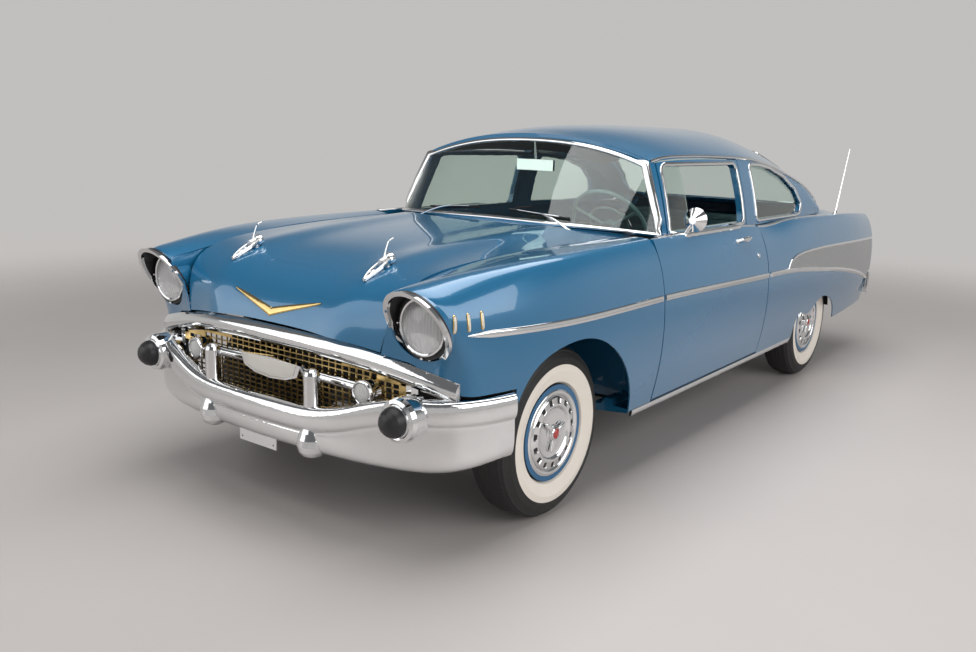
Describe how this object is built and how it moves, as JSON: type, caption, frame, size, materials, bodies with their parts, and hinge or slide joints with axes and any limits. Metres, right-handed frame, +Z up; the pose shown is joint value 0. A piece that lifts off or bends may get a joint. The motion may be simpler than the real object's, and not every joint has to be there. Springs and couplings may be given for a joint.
{
  "type": "1950s classic car",
  "caption": "Two-door hardtop 1950s car with separate hinged doors, hood and trunk lid, steering front wheels, free-rolling wheels, bench seats and a full bright grille.",
  "frame": {"origin": "centre of the car's length and width, on the ground under the tyres", "axes": "+Z up; the car's front faces -Y; +X is the car's left, the driver's side"},
  "size_m": [1.87, 5.08, 1.5356],
  "materials": {
    "body_paint": "glossy mid blue body paint",
    "bright_trim": "polished bright plating",
    "gold_mesh": "gold anodised mesh",
    "window_glass": "clear glass with a faint green tint",
    "lamp_glass": "fluted clear lens",
    "red_lens": "transparent red lens",
    "tyre_rubber": "black tread and shoulder with a cream side wall",
    "wheel_bright": "polished wheel cover on a blue rim",
    "seat_fabric": "dark teal cloth and vinyl",
    "cabin_plastic": "teal grey moulded rim",
    "cabin_metal": "black painted dash",
    "chassis_black": "satin black chassis paint",
    "cast_parts": "bare cast metal",
    "exhaust_steel": "dull bare pipe",
    "mirror_glass": "silvered glass in a bright shell"
  },
  "bodies": {
    "body_shell": {"cowl_panel": "body_paint", "dashboard": "cabin_metal", "engine": "cast_parts", "exhaust": "exhaust_steel", "fender_left": "body_paint", "fender_right": "body_paint", "fixed_glass": "window_glass", "floor_pan": "chassis_black", "frame": "chassis_black", "front_bumper": "bright_trim", "front_seat": "seat_fabric", "front_suspension": "chassis_black", "fuel_tank": "exhaust_steel", "grille": "gold_mesh", "grille_surround": "bright_trim", "headlamps": "lamp_glass", "inner_fenders": "chassis_black", "inside_mirror": "mirror_glass", "quarter_panel_left": "body_paint", "quarter_panel_right": "body_paint", "radiator": "chassis_black", "rear_axle": "cast_parts", "rear_bumper": "bright_trim", "rear_seat": "seat_fabric", "rocker_panels": "body_paint", "roof_panel": "body_paint", "steering_column": "cabin_metal", "tail_lamps": "red_lens", "tail_panel": "body_paint"},
    "door_left_body": {"door_left": "body_paint", "door_glass_left": "window_glass"},
    "door_right_body": {"door_right": "body_paint", "door_glass_right": "window_glass"},
    "hood_body": {"hood": "body_paint"},
    "trunk_lid_body": {"trunk_lid": "body_paint"},
    "steering_wheel_body": {"steering_wheel": "cabin_plastic"},
    "tie_rod_body": {"tie_rods": "cast_parts"},
    "knuckle_left_body": {"knuckle_left": "cast_parts"},
    "knuckle_right_body": {"knuckle_right": "cast_parts"},
    "front_left_wheel": {"tyre_front_left": "tyre_rubber", "wheel_front_left": "wheel_bright"},
    "front_right_wheel": {"tyre_front_right": "tyre_rubber", "wheel_front_right": "wheel_bright"},
    "rear_left_wheel": {"tyre_rear_left": "tyre_rubber", "wheel_rear_left": "wheel_bright"},
    "rear_right_wheel": {"tyre_rear_right": "tyre_rubber", "wheel_rear_right": "wheel_bright"}
  },
  "joints": [
    {"name": "steering_turn", "type": "hinge", "parent": "body_shell", "child": "steering_wheel_body", "pos_m": [0.38, -0.595, 1.035], "axis": [0, 0.866, 0.5], "range_deg": [-820, 820]},
    {"name": "steer_left", "type": "hinge", "parent": "body_shell", "child": "knuckle_left_body", "pos_m": [0.665, -1.715, 0.343], "axis": [0, 0, 1], "range_deg": [-32.5, 32.5]},
    {"name": "steer_right", "type": "hinge", "parent": "body_shell", "child": "knuckle_right_body", "pos_m": [-0.665, -1.715, 0.343], "axis": [0, 0, 1], "range_deg": [-32.5, 32.5]},
    {"name": "tie_rod_slide", "type": "slide", "parent": "body_shell", "child": "tie_rod_body", "axis": [1, 0, 0], "range_m": [-0.08, 0.08]},
    {"name": "front_left_spin", "type": "hinge", "parent": "knuckle_left_body", "child": "front_left_wheel", "pos_m": [0.7365, -1.715, 0.343], "axis": [1, 0, 0], "continuous": true},
    {"name": "front_right_spin", "type": "hinge", "parent": "knuckle_right_body", "child": "front_right_wheel", "pos_m": [-0.7365, -1.715, 0.343], "axis": [1, 0, 0], "continuous": true},
    {"name": "rear_left_spin", "type": "hinge", "parent": "body_shell", "child": "rear_left_wheel", "pos_m": [0.747, 1.206, 0.343], "axis": [1, 0, 0], "continuous": true},
    {"name": "rear_right_spin", "type": "hinge", "parent": "body_shell", "child": "rear_right_wheel", "pos_m": [-0.747, 1.206, 0.343], "axis": [1, 0, 0], "continuous": true},
    {"name": "door_left_swing", "type": "hinge", "parent": "body_shell", "child": "door_left_body", "pos_m": [0.866, -1.001, 0.6], "axis": [0, 0, -1], "range_deg": [0, 65]},
    {"name": "door_right_swing", "type": "hinge", "parent": "body_shell", "child": "door_right_body", "pos_m": [-0.866, -1.001, 0.6], "axis": [0, 0, 1], "range_deg": [0, 65]},
    {"name": "hood_lift", "type": "hinge", "parent": "body_shell", "child": "hood_body", "pos_m": [0, -1.095, 1.02], "axis": [-1, 0, 0], "range_deg": [0, 50]},
    {"name": "trunk_lid_lift", "type": "hinge", "parent": "body_shell", "child": "trunk_lid_body", "pos_m": [0, 1.52, 1.008], "axis": [1, 0, 0], "range_deg": [0, 75]}
  ],
  "couplings": [
    {"joint": "steer_left", "follows": "steering_turn", "ratio": 0.038911},
    {"joint": "steer_right", "follows": "steering_turn", "ratio": 0.038911},
    {"joint": "tie_rod_slide", "follows": "steering_turn", "m_per_rad": -0.0054475}
  ]
}
